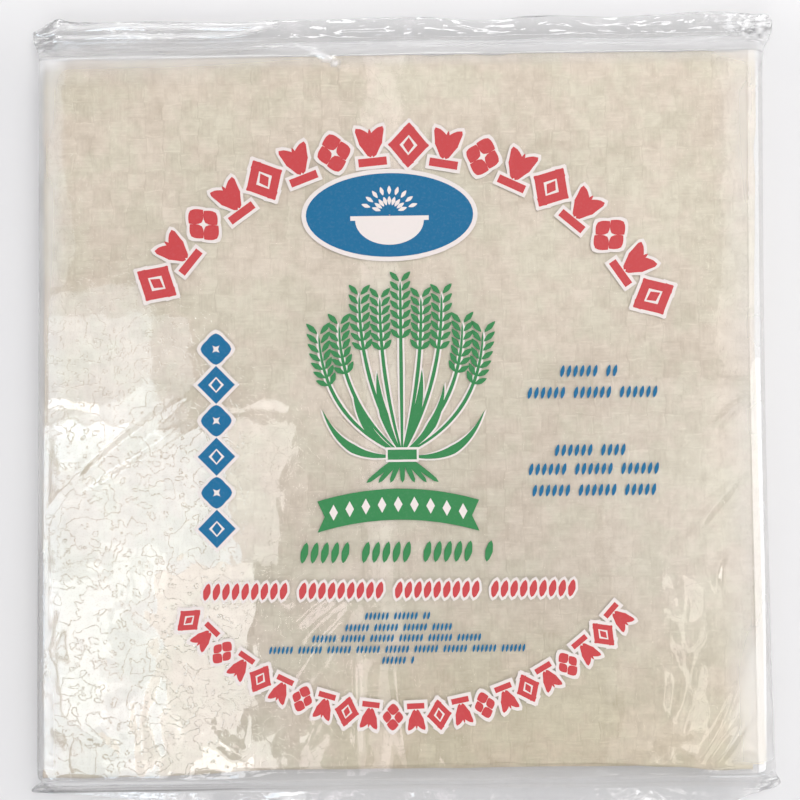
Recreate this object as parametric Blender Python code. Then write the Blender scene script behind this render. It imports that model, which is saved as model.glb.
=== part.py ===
"""Clear film pack of square rice paper sheets, lying flat with its printed side up.

The pack is one sealed body. A flat stack of sheets fills it, so its middle is a square slab
with tight sides. Beyond the stack the film runs down to a sealed fin at each end. Spare film
stands out as a small ear at each corner, the right side is slack, and the near flap is folded
in from both sides.

Frame, in metres: the origin is under the middle of the stack, +X to the right, +Y towards the
far seal, +Z up.
"""

import math

import bmesh
import bpy

# The sheets and the film around them
SHEET_SIDE = 0.220
SHEET_COUNT = 30
SHEET_PITCH = 0.00056  # one dry sheet with the air above it
FILM_GAP = 0.0004  # air and film above the top sheet
SIDE_GAP = 0.0010  # air and film beside the sheets
PACK_HEIGHT = SHEET_COUNT * SHEET_PITCH + FILM_GAP
SIDE = SHEET_SIDE / 2 + SIDE_GAP
SPARE_LEFT = 0.0007  # spare film past that gap
SPARE_RIGHT = 0.0029
SIDE_ROUND = 0.0020  # depth of the rounded edge along a side

# The sealed ends
SLOPE_LENGTH = 0.010  # film running down from the stack's edge to the fin
FIN_LENGTH = 0.006
FIN_THICKNESS = 0.0012
FIN_HEIGHT = 0.0060  # middle of the fin above the floor
FIN_WAVE = 0.0007
FIN_WAVE_LENGTH = 0.046
END_REACH = SHEET_SIDE / 2 + SLOPE_LENGTH + FIN_LENGTH
FIN_ROOT = END_REACH - FIN_LENGTH
NEAR_ROOT = 0.1170  # the near flap starts closer to the stack
FIN_TOP = FIN_HEIGHT + FIN_THICKNESS / 2
FIN_BOTTOM = FIN_HEIGHT - FIN_THICKNESS / 2

# Slack film at the corners and at the right side
EAR_REACH = 0.0055  # how far a left ear stands out from the side
FAR_RIGHT_EAR = 0.0085
NEAR_RIGHT_EAR = 0.0048
EAR_DEPTH = 0.0085
NEAR_EAR = -0.1160  # where the ears of the near end stand
FAR_EAR = 0.1225
SIDE_FLARE = 0.0037
FLAP_TUCK_LEFT = 0.049  # how far the near flap is folded in at its left end
FLAP_TUCK_RIGHT = 0.016

# How finely the form is divided
TOP_STEPS = 48
BOTTOM_STEPS = 16
SIDE_STEPS = 8
END_STEP = 0.0015
MIDDLE_STEPS = 31

# Raised folds of the top film: start x, start y, end x, end y, height, half width
FOLDS = (
    (0.1050, -0.0430, 0.0890, -0.1080, 0.0007, 0.0060),
    (0.1070, 0.0070, 0.0930, -0.0060, 0.0005, 0.0050),
    (0.1060, -0.0160, 0.0870, -0.0370, 0.0005, 0.0050),
    (-0.1060, -0.0300, -0.0610, 0.0100, 0.0006, 0.0060),
    (-0.1040, -0.0520, -0.0700, -0.0180, 0.0004, 0.0060),
    (0.0020, 0.1050, -0.0080, -0.1050, 0.0005, 0.0120),
)


def glide(knots, value):
    """A smooth curve through (place, height) knots that never swings past a knot."""
    if value <= knots[0][0]:
        return knots[0][1]
    if value >= knots[-1][0]:
        return knots[-1][1]
    slopes = []
    for before, after in zip(knots, knots[1:]):
        slopes.append((after[1] - before[1]) / (after[0] - before[0]))
    tangents = [0.0]
    for before, after in zip(slopes, slopes[1:]):
        meet = 2 * before * after / (before + after) if before * after > 0 else 0.0
        tangents.append(meet)
    tangents.append(0.0)
    for i, (start, end) in enumerate(zip(knots, knots[1:])):
        if value <= end[0]:
            span = end[0] - start[0]
            t = (value - start[0]) / span
            rise = t * t * (3 - 2 * t)
            lean = t * (1 - t) ** 2 * tangents[i] - t * t * (1 - t) * tangents[i + 1]
            return start[1] + (end[1] - start[1]) * rise + span * lean
    return knots[-1][1]


def left_reach(y):
    """Distance from the middle to the left outline."""
    return glide(
        (
            (-END_REACH, SIDE - FLAP_TUCK_LEFT),
            (-0.1196, SIDE - 0.031),
            (-0.1173, SIDE - 0.008),
            (NEAR_EAR, SIDE + EAR_REACH),
            (-0.1115, SIDE + SPARE_LEFT + 0.0005),
            (0.1085, SIDE + SPARE_LEFT),
            (FAR_EAR, SIDE + EAR_REACH),
            (END_REACH, SIDE + 0.0015),
        ),
        y,
    )


def right_reach(y):
    """Distance from the middle to the right outline."""
    return glide(
        (
            (-END_REACH, SIDE - FLAP_TUCK_RIGHT),
            (-0.1196, SIDE - 0.006),
            (-0.1176, SIDE + 0.001),
            (NEAR_EAR, SIDE + NEAR_RIGHT_EAR),
            (-0.1110, SIDE + SIDE_FLARE),
            (-0.0400, SIDE + 0.0023),
            (0.1085, SIDE + SPARE_RIGHT),
            (FAR_EAR, SIDE + FAR_RIGHT_EAR),
            (END_REACH, SIDE + 0.0075),
        ),
        y,
    )


def edge_depth(y, slack):
    """How far in from the outline the rounded edge reaches."""
    return glide(
        (
            (-END_REACH, 0.0030),
            (NEAR_EAR, EAR_DEPTH),
            (-0.1080, SIDE_ROUND + slack),
            (-0.0400, SIDE_ROUND),
            (0.1085, SIDE_ROUND),
            (FAR_EAR, EAR_DEPTH),
            (END_REACH, 0.0040),
        ),
        y,
    )


def edge_point(y, slack):
    """Form of the edge: 0.5 is a square shoulder, 1 is round and 2 comes to a point."""
    return glide(
        (
            (-END_REACH, 1.0),
            (NEAR_EAR, 2.2),
            (-0.1080, 0.55 + slack),
            (-0.0400, 0.55),
            (0.1085, 0.55),
            (FAR_EAR, 1.6),
            (END_REACH, 1.0),
        ),
        y,
    )


def top_height(y):
    """Height of the film over the middle: flat over the stack, then down to the fin."""
    return glide(
        (
            (-END_REACH, FIN_TOP),
            (-NEAR_ROOT, FIN_TOP),
            (-0.1140, 0.0095),
            (-0.1113, PACK_HEIGHT - 0.0018),
            (-0.1096, PACK_HEIGHT),
            (0.1100, PACK_HEIGHT),
            (0.1125, PACK_HEIGHT - 0.0014),
            (0.1160, 0.0108),
            (FIN_ROOT, FIN_TOP),
            (END_REACH, FIN_TOP),
        ),
        y,
    )


def bottom_height(y):
    """Height of the underside: on the floor under the stack, then up to the fin."""
    return glide(
        (
            (-END_REACH, FIN_BOTTOM),
            (-NEAR_ROOT, FIN_BOTTOM),
            (-0.1125, 0.0012),
            (-0.1085, 0.0),
            (0.1085, 0.0),
            (0.1130, 0.0012),
            (FIN_ROOT, FIN_BOTTOM),
            (END_REACH, FIN_BOTTOM),
        ),
        y,
    )


def fold_height(x, y):
    """Sum of the raised folds: each is a smooth ridge that fades towards its two ends."""
    height = 0.0
    for x1, y1, x2, y2, rise, half_width in FOLDS:
        run_x, run_y = x2 - x1, y2 - y1
        length = math.hypot(run_x, run_y)
        along = ((x - x1) * run_x + (y - y1) * run_y) / length**2
        if 0 < along < 1:
            aside = ((x - x1) * run_y - (y - y1) * run_x) / length
            height += rise * math.sin(math.pi * along) ** 0.5 * math.exp(-((aside / half_width) ** 2))
    return height


def fin_wave(x, y):
    """The fins wave up and down along their length, and the wave dies out towards the stack."""
    beyond = max(0.0, abs(y) - SHEET_SIDE / 2) / (END_REACH - SHEET_SIDE / 2)
    return FIN_WAVE * beyond * math.sin(2 * math.pi * x / FIN_WAVE_LENGTH + math.copysign(0.8, y))


def edge_run(outline, depth, point, low, high):
    """Points (x, z) from the upper shoulder round the outline to the lower shoulder."""
    middle, half = (low + high) / 2, (high - low) / 2
    points = []
    for i in range(SIDE_STEPS + 1):
        angle = math.pi / 2 - math.pi * i / SIDE_STEPS
        out = abs(math.cos(angle)) ** point if 0 < i < SIDE_STEPS else 0.0
        up = math.copysign(abs(math.sin(angle)) ** point, math.sin(angle))
        points.append((outline - depth + depth * out, middle + half * up))
    return points


def section(y):
    """One closed loop round the pack at y, clockwise seen from the near end."""
    low, high = bottom_height(y), top_height(y)
    right = edge_run(right_reach(y), edge_depth(y, SIDE_FLARE), edge_point(y, 0.9), low, high)
    left = edge_run(left_reach(y), edge_depth(y, 0.0), edge_point(y, 0.0), low, high)
    start, end = -left[0][0], right[0][0]
    loop = []
    for i in range(TOP_STEPS):
        share = i / TOP_STEPS
        x = start + (end - start) * share
        fade = min(1.0, 8 * min(share, 1 - share))
        loop.append((x, y, high + fade * fold_height(x, y) + fin_wave(x, y)))
    loop += [(x, y, z + fin_wave(x, y)) for x, z in right]
    start, end = right[-1][0], -left[-1][0]
    for i in range(1, BOTTOM_STEPS):
        x = start + (end - start) * i / BOTTOM_STEPS
        loop.append((x, y, low + fin_wave(x, y)))
    loop += [(-x, y, z + fin_wave(-x, y)) for x, z in reversed(left[1:])]
    return loop


def stations():
    """Places of the sections along Y: close together at the ends, wider over the stack."""
    end_count = round((END_REACH - 0.1080) / END_STEP)
    stack_end = END_REACH - end_count * END_STEP
    near = [-END_REACH + i * END_STEP for i in range(end_count)]
    middle = [-stack_end + 2 * stack_end * i / MIDDLE_STEPS for i in range(MIDDLE_STEPS + 1)]
    return near + middle + [-y for y in reversed(near)]


def film_material():
    """Glossy clear film over cream sheets, as one colour."""
    material = bpy.data.materials.new("sealed_film")
    material.use_nodes = True
    shader = material.node_tree.nodes["Principled BSDF"]
    shader.inputs["Base Color"].default_value = (0.74, 0.66, 0.54, 1.0)
    shader.inputs["Roughness"].default_value = 0.22
    shader.inputs["Metallic"].default_value = 0.0
    return material


def film_pack(collection):
    """The whole pack: a loft through its sections, closed at both fins."""
    body = bmesh.new()
    loops = [[body.verts.new(point) for point in section(y)] for y in stations()]
    for near, far in zip(loops, loops[1:]):
        for i in range(len(near)):
            after = (i + 1) % len(near)
            body.faces.new((near[i], near[after], far[after], far[i]))
    body.faces.new(list(reversed(loops[0])))
    body.faces.new(loops[-1])
    bmesh.ops.recalc_face_normals(body, faces=body.faces)
    mesh = bpy.data.meshes.new("film_pack")
    body.to_mesh(mesh)
    body.free()
    mesh.materials.append(film_material())
    mesh.shade_smooth()
    mesh.set_sharp_from_angle(angle=math.radians(40))
    collection.objects.link(bpy.data.objects.new("film_pack", mesh))


def build():
    for old in list(bpy.data.objects):
        bpy.data.objects.remove(old, do_unlink=True)
    collection = bpy.data.collections.new("rice_paper_stack")
    bpy.context.scene.collection.children.link(collection)
    film_pack(collection)


build()
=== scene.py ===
import math
import time
from functools import partial

import bpy
import numpy as np
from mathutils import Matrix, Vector


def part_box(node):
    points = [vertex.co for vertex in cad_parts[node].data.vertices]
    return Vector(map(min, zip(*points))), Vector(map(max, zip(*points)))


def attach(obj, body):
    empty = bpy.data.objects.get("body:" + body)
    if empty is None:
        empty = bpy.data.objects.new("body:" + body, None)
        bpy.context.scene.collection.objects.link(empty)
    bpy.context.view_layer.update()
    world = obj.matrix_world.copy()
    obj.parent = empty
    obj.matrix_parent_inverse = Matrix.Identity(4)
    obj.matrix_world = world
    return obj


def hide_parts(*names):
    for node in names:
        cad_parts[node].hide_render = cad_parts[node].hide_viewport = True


startTime = time.time()
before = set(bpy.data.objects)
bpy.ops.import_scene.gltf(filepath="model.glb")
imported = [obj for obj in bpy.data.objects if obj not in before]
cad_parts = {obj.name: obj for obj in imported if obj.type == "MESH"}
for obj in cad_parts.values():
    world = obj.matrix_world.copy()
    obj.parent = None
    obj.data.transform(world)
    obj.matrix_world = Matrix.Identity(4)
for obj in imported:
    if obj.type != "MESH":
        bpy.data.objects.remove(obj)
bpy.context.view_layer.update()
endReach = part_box("film_pack")[1].y  # the far fin's end; the near one mirrors it

mm = 0.001


def report(text):
    print(f"[{time.time() - startTime:6.1f} s] {text}")


# shared tools: curves, noise and grids


def glide(knots, values):
    # cubic pieces through (place, level) knots; tangents are harmonic means, so nothing overshoots
    place, level = np.array(knots, float).T
    slope = np.diff(level) / np.diff(place)
    product = slope[1:] * slope[:-1]
    tangent = np.zeros(len(place))
    turning = product <= 0
    tangent[1:-1] = np.where(turning, 0, 2 * product / np.where(turning, 1, slope[1:] + slope[:-1]))
    values = np.clip(values, place[0], place[-1])
    i = np.clip(np.searchsorted(place, values) - 1, 0, len(slope) - 1)
    span = place[i + 1] - place[i]
    t = (values - place[i]) / span
    rise = level[i] + (level[i + 1] - level[i]) * t * t * (3 - 2 * t)
    return rise + span * (t * (1 - t) ** 2 * tangent[i] - t * t * (1 - t) * tangent[i + 1])


def step(low, high, values):
    # 0 below low, 1 above high, 3t^2 - 2t^3 between
    t = np.clip((values - low) / (high - low), 0, 1)
    return t * t * (3 - 2 * t)


def bell(values, middle, width):
    # e^-((value - middle) / width)^2
    return np.exp(-(((values - middle) / width) ** 2))


def noise(x, y, cellX, cellY, seed):
    # value noise from -1 to 1: random lattice values joined by quintic steps
    table = np.random.default_rng(seed).uniform(-1, 1, (64, 64))
    u, v = x / cellX + 31.7, y / cellY + 17.3
    iu, iv = np.floor(u).astype(int), np.floor(v).astype(int)
    fu, fv = u - iu, v - iv
    fu, fv = fu**3 * (fu * (6 * fu - 15) + 10), fv**3 * (fv * (6 * fv - 15) + 10)
    a, b = table[iu % 64, iv % 64], table[(iu + 1) % 64, iv % 64]
    c, d = table[iu % 64, (iv + 1) % 64], table[(iu + 1) % 64, (iv + 1) % 64]
    return (a * (1 - fu) + b * fu) * (1 - fv) + (c * (1 - fu) + d * fu) * fv


def gridFaces(rows, columns, closed=False):
    # quads between neighbours of a rows x columns grid, wrapping round the columns if closed
    r = np.arange(rows - 1)[:, None]
    c = np.arange(columns if closed else columns - 1)[None]
    after = (c + 1) % columns
    quads = np.stack(
        [r * columns + c, r * columns + after, (r + 1) * columns + after, (r + 1) * columns + c], -1
    )
    return quads.reshape(-1, 4)


def makePiece(name, points, faces, material, smooth=True):
    mesh = bpy.data.meshes.new(name)
    mesh.from_pydata(np.asarray(points).reshape(-1, 3).tolist(), [], [list(f) for f in faces])
    mesh.polygons.foreach_set("use_smooth", np.full(len(mesh.polygons), smooth))
    mesh.materials.append(material)
    mesh.validate()
    piece = bpy.data.objects.new(name, mesh)
    bpy.context.scene.collection.objects.link(piece)
    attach(piece, "root")
    return piece


# node shorthand


def newMaterial(name):
    material = bpy.data.materials.new(name)
    material.use_nodes = True
    tree = material.node_tree
    shader = tree.nodes["Principled BSDF"]
    return material, tree, shader


def feed(tree, socket, value):
    if isinstance(value, bpy.types.NodeSocket):
        tree.links.new(value, socket)
    elif value is not None:
        socket.default_value = value


def calc(tree, operation, a, b=None, c=None):
    node = tree.nodes.new("ShaderNodeMath")
    node.operation = operation
    for socket, value in zip(node.inputs, (a, b, c)):
        feed(tree, socket, value)
    return node.outputs[0]


def weighed(tree, total, *parts):
    # total + value * weight for each part
    for value, weight in parts:
        total = calc(tree, "MULTIPLY_ADD", value, weight, total)
    return total


def mixColour(tree, share, a, b, kind="MIX"):
    node = tree.nodes.new("ShaderNodeMix")
    node.data_type = "RGBA"
    node.blend_type = kind
    feed(tree, node.inputs[0], share)
    feed(tree, node.inputs[6], a)
    feed(tree, node.inputs[7], b)
    return node.outputs[2]


def tinted(tree, colour, by):
    return mixColour(tree, 1.0, colour, by, "MULTIPLY")


def mixShader(tree, share, a, b):
    node = tree.nodes.new("ShaderNodeMixShader")
    for socket, value in zip(node.inputs, (share, a, b)):
        tree.links.new(value, socket)
    return node.outputs[0]


def speckle(tree, where, scale, detail=2.0, roughness=0.5, stretch=(1, 1, 1)):
    # noise on Object coordinates in metres; scale is features for each metre
    mapping = tree.nodes.new("ShaderNodeMapping")
    mapping.inputs["Scale"].default_value = stretch
    tree.links.new(where, mapping.inputs["Vector"])
    node = tree.nodes.new("ShaderNodeTexNoise")
    node.inputs["Scale"].default_value = scale
    node.inputs["Detail"].default_value = detail
    node.inputs["Roughness"].default_value = roughness
    tree.links.new(mapping.outputs[0], node.inputs["Vector"])
    return node.outputs["Fac"]


def ramp(tree, value, low, high, to=(0.0, 1.0)):
    # a smooth step from low to high, scaled to the two levels of to
    node = tree.nodes.new("ShaderNodeMapRange")
    node.interpolation_type = "SMOOTHSTEP"
    for name, number in zip(("From Min", "From Max", "To Min", "To Max"), (low, high, *to)):
        node.inputs[name].default_value = number
    tree.links.new(value, node.inputs["Value"])
    return node.outputs[0]


def blend(tree, share, a, b):
    node = tree.nodes.new("ShaderNodeMix")
    for socket, value in zip((node.inputs[0], node.inputs[2], node.inputs[3]), (share, a, b)):
        feed(tree, socket, value)
    return node.outputs[0]


def placeOf(tree):
    return tree.nodes.new("ShaderNodeTexCoord").outputs["Object"]


def axesOf(tree, vector):
    # the vector's x and y
    node = tree.nodes.new("ShaderNodeSeparateXYZ")
    tree.links.new(vector, node.inputs[0])
    return node.outputs[:2]


def bumpOf(tree, height, distance, strength=1.0):
    node = tree.nodes.new("ShaderNodeBump")
    node.inputs["Strength"].default_value = strength
    node.inputs["Distance"].default_value = distance
    tree.links.new(height, node.inputs["Height"])
    return node.outputs[0]


# the sheets

sheets = {
    "side": 220 * mm,  # as sold; dry sheets come out a little under
    "trimX": 217.0 * mm,
    "trimY": 217.4 * mm,
    "middle": (-0.4 * mm, 1.3 * mm),
    "topLeft": -109.3 * mm,
    "topRight": 107.0 * mm,  # the top sheet's right edge at y = 0
    "topLean": 0.0287,  # and how far it leans out towards the far end
    "count": 30,
    "pitch": 0.56 * mm,  # one sheet with the air above it
    "thickness": 0.40 * mm,
    "strip": 5.45 * mm,  # width of one strip of the pressed-in basket weave
    "relief": 0.10 * mm,
    "rag": 0.4 * mm,  # unevenness of the top sheet's cut edges
    "sizeSpread": 0.3 * mm,  # how the lower sheets differ in size, place and turn (radians)
    "shiftSpread": 0.25 * mm,
    "turnSpread": 0.0014,
    "topSteps": 290,
    "edgeSteps": 26,
    "lightTone": (0.735, 0.656, 0.547, 1),
    "deepTone": (0.549, 0.465, 0.363, 1),
    "clouds": 0.34,  # how much each pattern shows in the tone
    "fibres": 0.85,
    "mottle": 1.7,
    "flecks": -0.30,
    "warp": 3.2 * mm,  # how far the weave's coordinates are pushed about
    "paintedNearFarLight": (0.90, 1.11),  # painted fall of light: tint at the near and at the far end
    "warmTint": (1.01, 0.99, 0.90, 1),
    "pinkTint": (1.0, 0.98, 0.97, 1),
    "greenTint": (0.965, 0.995, 0.955, 1),
    "roughness": 0.62,
}
stackTop = sheets["count"] * sheets["pitch"]
# the top sheet's near edge (x, y), in millimetres
nearEdge = ((-109, -109.2), (-75, -109.0), (-40, -107.2), (-10, -106.4), (50, -106.3), (80, -107.4),
            (106, -108.9))


def weaveHeight(x, y):
    # basket weave: in each square one strip lies on top, crowned by a cosine along it and flat with
    # rounded shoulders across it; neighbouring squares swap direction
    wobbleX = 0.5 * mm * noise(x, y, 18 * mm, 18 * mm, 5)
    wobbleY = 0.5 * mm * noise(x, y, 18 * mm, 18 * mm, 6)
    u, v = (x + wobbleX) / sheets["strip"], (y + wobbleY) / sheets["strip"]
    fu, fv = u - np.floor(u) - 0.5, v - np.floor(v) - 0.5
    lyingAlongX = (np.floor(u) + np.floor(v)) % 2 == 0
    along = np.where(lyingAlongX, fu, fv)
    across = np.where(lyingAlongX, fv, fu)
    crown = np.cos(np.pi * along) ** 0.5
    shoulder = 1 - np.abs(2 * across) ** 6
    return crown * shoulder


def sheetSag(x, y):
    # slow unevenness of the dried sheets, strongest near their edges
    edge = np.maximum(np.abs(x), np.abs(y)) / (sheets["side"] / 2)
    return 0.10 * mm * noise(x, y, 38 * mm, 44 * mm, 8) - 0.12 * mm * edge**6


def sheetMaterial():
    # tone = clouds + basket weave on warped coordinates + fibres along each strip + mottle - flecks;
    # weave = painted shade along the strip edges - broken painted glints beside them + a step and a random
    # draw for each square;
    # painted light makes the colour dimmer at the near end and brighter at the far end; it is warmer in the
    # near right, and pinker or greener in patches
    material, tree, shader = newMaterial("ricePaper")
    place = placeOf(tree)
    warp = tree.nodes.new("ShaderNodeTexNoise")
    warp.inputs["Scale"].default_value = 130
    warp.inputs["Detail"].default_value = 2
    tree.links.new(place, warp.inputs["Vector"])
    push = tree.nodes.new("ShaderNodeVectorMath")
    push.operation = "MULTIPLY_ADD"
    push.inputs[1].default_value = (sheets["warp"], sheets["warp"], 0)
    tree.links.new(warp.outputs["Color"], push.inputs[0])
    tree.links.new(place, push.inputs[2])
    cells, edges, glints = [], [], []
    for warped in axesOf(tree, push.outputs[0]):
        strips = calc(tree, "DIVIDE", warped, sheets["strip"])
        cells.append(calc(tree, "FLOOR", strips))
        middle = calc(tree, "ABSOLUTE", calc(tree, "SUBTRACT", calc(tree, "FRACT", strips), 0.5))
        beside = calc(tree, "ABSOLUTE", calc(tree, "SUBTRACT", middle, 0.40))
        edges.append(ramp(tree, middle, 0.30, 0.52))
        glints.append(ramp(tree, beside, 0.06, 0.0))
    swapped = calc(tree, "PINGPONG", calc(tree, "ADD", cells[0], cells[1]), 1.0)
    edge = blend(tree, swapped, edges[1], edges[0])
    glint = blend(tree, swapped, glints[1], glints[0])
    fibre = blend(tree, swapped, speckle(tree, place, 1.0, 2.0, 0.6, (130, 1500, 1)),
                  speckle(tree, place, 1.0, 2.0, 0.6, (1500, 130, 1)))
    cell = tree.nodes.new("ShaderNodeCombineXYZ")
    tree.links.new(cells[0], cell.inputs[0])
    tree.links.new(cells[1], cell.inputs[1])
    dice = tree.nodes.new("ShaderNodeTexWhiteNoise")
    dice.noise_dimensions = "2D"
    tree.links.new(cell.outputs[0], dice.inputs["Vector"])
    clouds = ramp(tree, speckle(tree, place, 38, 4.0, 0.62), 0.30, 0.72)
    seen = ramp(tree, speckle(tree, place, 30, 2.0, 0.5, (1, 1, 5)), 0.32, 0.66, (0.35, 1.0))
    mottle = speckle(tree, place, 260, 4.0, 0.7)
    flecks = ramp(tree, speckle(tree, place, 420, 2.0, 0.6, (1.0, 1.0, 3.0)), 0.60, 0.74)
    dashes = ramp(tree, speckle(tree, place, 170, 2.0, 0.6), 0.45, 0.65)
    glint = calc(tree, "MULTIPLY", glint, dashes)
    # painted shade on the strip edges and painted glints beside them go into the weave's tone
    weave = weighed(tree, 0.0, (edge, 0.17), (glint, -0.46), (swapped, 0.12), (dice.outputs["Value"], 0.28))
    middle = 0.10 - 0.5 * (sheets["fibres"] + sheets["mottle"])
    tone = weighed(tree, middle, (clouds, sheets["clouds"]), (weave, seen), (fibre, sheets["fibres"]),
                   (mottle, sheets["mottle"]), (flecks, sheets["flecks"]))
    tone = calc(tree, "MINIMUM", calc(tree, "MAXIMUM", tone, 0.0), 1.0)
    colour = mixColour(tree, tone, sheets["lightTone"], sheets["deepTone"])
    x, y = axesOf(tree, place)
    # painted light: the paper is dimmer towards the near end and brighter towards the far end
    colour = tinted(tree, colour, ramp(tree, y, -120 * mm, 120 * mm, sheets["paintedNearFarLight"]))
    nearRight = calc(tree, "MULTIPLY", ramp(tree, y, -45 * mm, -100 * mm), ramp(tree, x, -45 * mm, 0.0))
    colour = mixColour(tree, nearRight, colour, tinted(tree, colour, sheets["warmTint"]))
    patch = ramp(tree, speckle(tree, place, 75, 3.0, 0.6, (1, 1, 9)), 0.38, 0.62)
    colour = tinted(tree, colour, mixColour(tree, patch, sheets["pinkTint"], sheets["greenTint"]))
    feed(tree, shader.inputs["Base Color"], colour)
    feed(tree, shader.inputs["Roughness"], sheets["roughness"])
    relief = weighed(tree, mottle, (fibre, 0.8), (edge, -0.7))
    feed(tree, shader.inputs["Normal"], bumpOf(tree, relief, 0.06 * mm, 0.7))
    return material


def makeTopSheet(material):
    # z = stack top - weave depth + sag over a grid, with a skirt down to the sheet's underside
    n = sheets["topSteps"] + 1
    line = np.linspace(-1, 1, n)
    u, v = np.meshgrid(line, line)
    far = sheets["middle"][1] + sheets["trimY"] / 2
    near = glide(nearEdge, 109 * u) * mm
    y = near + (far - near) * (v + 1) / 2
    right = sheets["topRight"] + sheets["topLean"] * y
    x = sheets["topLeft"] + (u + 1) / 2 * (right - sheets["topLeft"])
    ragX = sheets["rag"] * noise(x * 0, y, 1, 9 * mm, 21) * np.abs(u) ** 8 * np.sign(u)
    ragY = sheets["rag"] * noise(x, y * 0, 9 * mm, 1, 22) * np.abs(v) ** 8 * np.sign(v)
    z = stackTop - sheets["relief"] * (1 - weaveHeight(x, y)) + sheetSag(x, y) - 0.10 * mm
    top = np.stack([x + ragX, y + ragY, z], -1).reshape(-1, 3)
    rim = np.concatenate([np.arange(n), np.arange(1, n) * n + n - 1,
                          n * n - 2 - np.arange(n - 1), (np.arange(n - 2, 0, -1)) * n])
    lower = top[rim] - [0, 0, sheets["thickness"]]
    m = len(rim)
    skirt = np.stack([rim, n * n + np.arange(m), n * n + (np.arange(m) + 1) % m, np.roll(rim, -1)], -1)
    faces = gridFaces(n, n).tolist() + skirt.tolist() + [list(range(n * n + m - 1, n * n - 1, -1))]
    return makePiece("topSheet", np.vstack([top, lower]), faces, material)


def makeLowerSheets(material):
    # each lower sheet is a thin slab with a wavy rim, shifted and turned by a hair
    dice = np.random.default_rng(40)
    k = sheets["edgeSteps"]
    half = np.array([sheets["trimX"], sheets["trimY"]]) / 2
    run = np.linspace(-1, 1, k, endpoint=False)
    square = np.vstack([np.stack([run, run * 0 - 1], -1), np.stack([run * 0 + 1, run], -1),
                        np.stack([-run, run * 0 + 1], -1), np.stack([run * 0 - 1, -run], -1)])
    m = len(square)
    points, faces = [], []
    for level in range(sheets["count"] - 1):
        turn = dice.normal(0, sheets["turnSpread"])
        cosine, sine = math.cos(turn), math.sin(turn)
        size = half - np.abs(dice.normal(0, sheets["sizeSpread"], 2)) + dice.normal(0, 0.06 * mm, (m, 1))
        ring = square * size @ np.array([[cosine, sine], [-sine, cosine]])
        ring = ring + np.array(sheets["middle"]) + dice.normal(0, sheets["shiftSpread"], 2)
        wave = 0.07 * mm * noise(ring[:, 0] + 3 * level, ring[:, 1], 16 * mm, 16 * mm, 60 + level)
        low = level * sheets["pitch"] + 0.12 * mm + wave
        first = len(points) * 2 * m
        points.append(np.vstack([np.column_stack([ring, low]),
                                 np.column_stack([ring, low + sheets["thickness"]])]))
        i = np.arange(m)
        after = (i + 1) % m
        faces += (np.stack([i, after, m + after, m + i], -1) + first).tolist()
        faces += [list(range(first + m - 1, first - 1, -1)), list(range(first + m, first + 2 * m))]
    return makePiece("lowerSheets", np.vstack(points), faces, material, smooth=False)


# the film

film = {
    "height": 17.2 * mm,
    "sideGap": 1.0 * mm,
    "sideRound": 3.4 * mm,
    "leftOut": 0.7 * mm,  # how far the sides stand off the sheets' own clearance
    "rightOut": 3.2 * mm,
    "sidePoint": 0.55,  # form of a side's edge: 0.5 is a square shoulder, 1 is round, 2 is pointed
    "slackRound": 6.2 * mm,  # the right side, where the film stands off the sheets
    "slackPoint": 0.85,
    "slackFlare": 0.5,
    "finLength": 6.0 * mm,
    "finThickness": 0.25 * mm,
    "finHeight": 6.0 * mm,
    "finWave": 0.7 * mm,
    "finWaveLength": 46 * mm,
    "earReach": 5.5 * mm,
    "farRightEar": 8.5 * mm,
    "nearRightEar": 4.8 * mm,
    "earDepth": 8.5 * mm,
    "nearEar": -116.0 * mm,
    "farEar": 122.5 * mm,
    "sideFlare": 2.5 * mm,
    "nearRoot": 117.0 * mm,
    "upperLip": 124.1 * mm,
    "lowerLip": 121.0 * mm,
    "lipRise": 0.38 * mm,
    "wrinkleRise": 0.24 * mm,
    "crumpleRise": 0.42 * mm,
    "earRise": 1.2 * mm,
    "foldLine": 0.35 * mm,  # half width of the painted dark line at a sharp fold
    "tuckLeft": 49 * mm,
    "tuckRight": 16 * mm,
    "topSteps": 232,
    "bottomSteps": 30,
    "sideSteps": 13,
    "middleSteps": 150,
    "endSteps": 84,
    "mirror": 0.075,  # share mirrored head on by the film's two faces
    "haze": 0.03,
    "roughness": 0.025,
    "faceTint": 0.985,  # share let through by one layer over the sheets
    "endTint": 0.97,  # by the slack film past them
    "finTint": 0.94,  # and by the layers of the fin
    # white haze over the film past the sheets: partly the haze of its layers, partly painted light on the
    # ends
    "endHazeAndLight": 0.12,
    # how much the milky veil and its painted highlights show
    "milkAndSheenHaze": 0.8,
    "veilTone": (0.93, 0.93, 0.94, 1),  # milky film and its painted highlights
    "shadeTone": (0.45, 0.45, 0.45, 1),  # painted shade: light let through where it is folded sharply
    "map": "milkSheenAndShade",
}
filmSide = sheets["side"] / 2 + film["sideGap"]
finRoot = endReach - film["finLength"]
finTop = film["finHeight"] + film["finThickness"] / 2
finBottom = film["finHeight"] - film["finThickness"] / 2


def leftReach(y):
    # distance from the middle to the left outline, through knots from the near fin to the far one
    ear = filmSide + film["earReach"]
    return glide(((-endReach, filmSide - film["tuckLeft"]), (-119.6 * mm, filmSide - 31 * mm),
                  (-117.3 * mm, filmSide - 8 * mm), (film["nearEar"], ear),
                  (-111.5 * mm, filmSide + film["leftOut"] + 0.5 * mm),
                  (108.5 * mm, filmSide + film["leftOut"]), (film["farEar"], ear),
                  (endReach, filmSide + 1.5 * mm)), y)


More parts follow.
